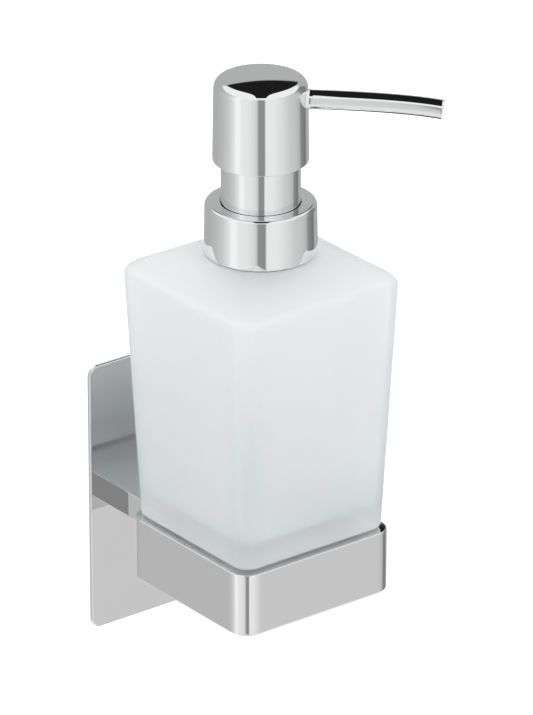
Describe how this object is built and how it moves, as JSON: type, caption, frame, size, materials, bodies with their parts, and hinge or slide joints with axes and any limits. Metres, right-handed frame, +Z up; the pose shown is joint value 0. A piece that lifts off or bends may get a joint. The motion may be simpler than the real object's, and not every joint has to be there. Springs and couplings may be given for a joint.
{
  "type": "wall mounted soap dispenser",
  "caption": "Wall mounted soap dispenser: a steel band on a stick-on plate holds a square frosted glass bottle with a chrome lotion pump and a turning spout.",
  "frame": {"origin": "centre of the adhesive pad's wall face, level with the middle of the bracket arm", "axes": "+Z up along the bottle, +Y into the wall, +X to the right as the user faces the wall"},
  "size_m": [0.0735, 0.0947, 0.1986],
  "materials": {
    "polished_steel": "polished stainless steel",
    "chrome_shell": "bright chrome plate",
    "spring_steel": "drawn stainless wire",
    "frosted_glass": "satin frosted glass",
    "white_plastic": "moulded polypropylene",
    "natural_plastic": "translucent polyethylene",
    "foam_adhesive": "double sided foam pad",
    "grey_gasket": "soft closure gasket"
  },
  "bodies": {
    "holder": {"adhesive_pad": "foam_adhesive", "back_plate": "polished_steel", "bracket_arm": "polished_steel", "holder_band": "polished_steel", "holder_floor": "polished_steel"},
    "container": {"bottle": "frosted_glass"},
    "pump_body": {"pump_housing": "white_plastic", "neck_gasket": "grey_gasket", "chaplet": "white_plastic", "dip_tube": "natural_plastic", "return_spring": "spring_steel"},
    "closure": {"closure_cap": "white_plastic", "collar_shell": "chrome_shell", "guide_sleeve": "chrome_shell"},
    "foot_valve": {"inlet_ball": "spring_steel"},
    "plunger": {"stem": "white_plastic", "stem_tip": "white_plastic"},
    "plunger_seal": {"piston": "natural_plastic"},
    "pump_head": {"head_shell": "chrome_shell", "head_core": "white_plastic", "spout_tube": "chrome_shell", "spout_liner": "white_plastic"}
  },
  "joints": [
    {"name": "bottle_lift", "type": "slide", "parent": "holder", "child": "container", "axis": [0, 0, 1], "range_m": [0, 0.06]},
    {"name": "pump_lift", "type": "slide", "parent": "container", "child": "pump_body", "axis": [0, 0, 1], "range_m": [0, 0.0044]},
    {"name": "closure_turn", "type": "hinge", "parent": "pump_body", "child": "closure", "pos_m": [0, -0.05395, 0.1], "axis": [0, 0, 1], "range_deg": [0, 400]},
    {"name": "ball_lift", "type": "slide", "parent": "pump_body", "child": "foot_valve", "axis": [0, 0, 1], "range_m": [0, 0.0012]},
    {"name": "head_press", "type": "slide", "parent": "pump_body", "child": "plunger", "axis": [0, 0, -1], "range_m": [0, 0.0135], "stiffness_N_per_m": 400, "springref_m": -0.008, "deforming": ["return_spring"]},
    {"name": "piston_slip", "type": "slide", "parent": "plunger", "child": "plunger_seal", "axis": [0, 0, 1], "range_m": [0, 0.001]},
    {"name": "spout_turn", "type": "hinge", "parent": "plunger", "child": "pump_head", "pos_m": [0, -0.05395, 0.14], "axis": [0, 0, 1], "continuous": true}
  ],
  "couplings": [
    {"joint": "closure_turn", "follows": "pump_lift", "rad_per_m": 1570.8}
  ]
}
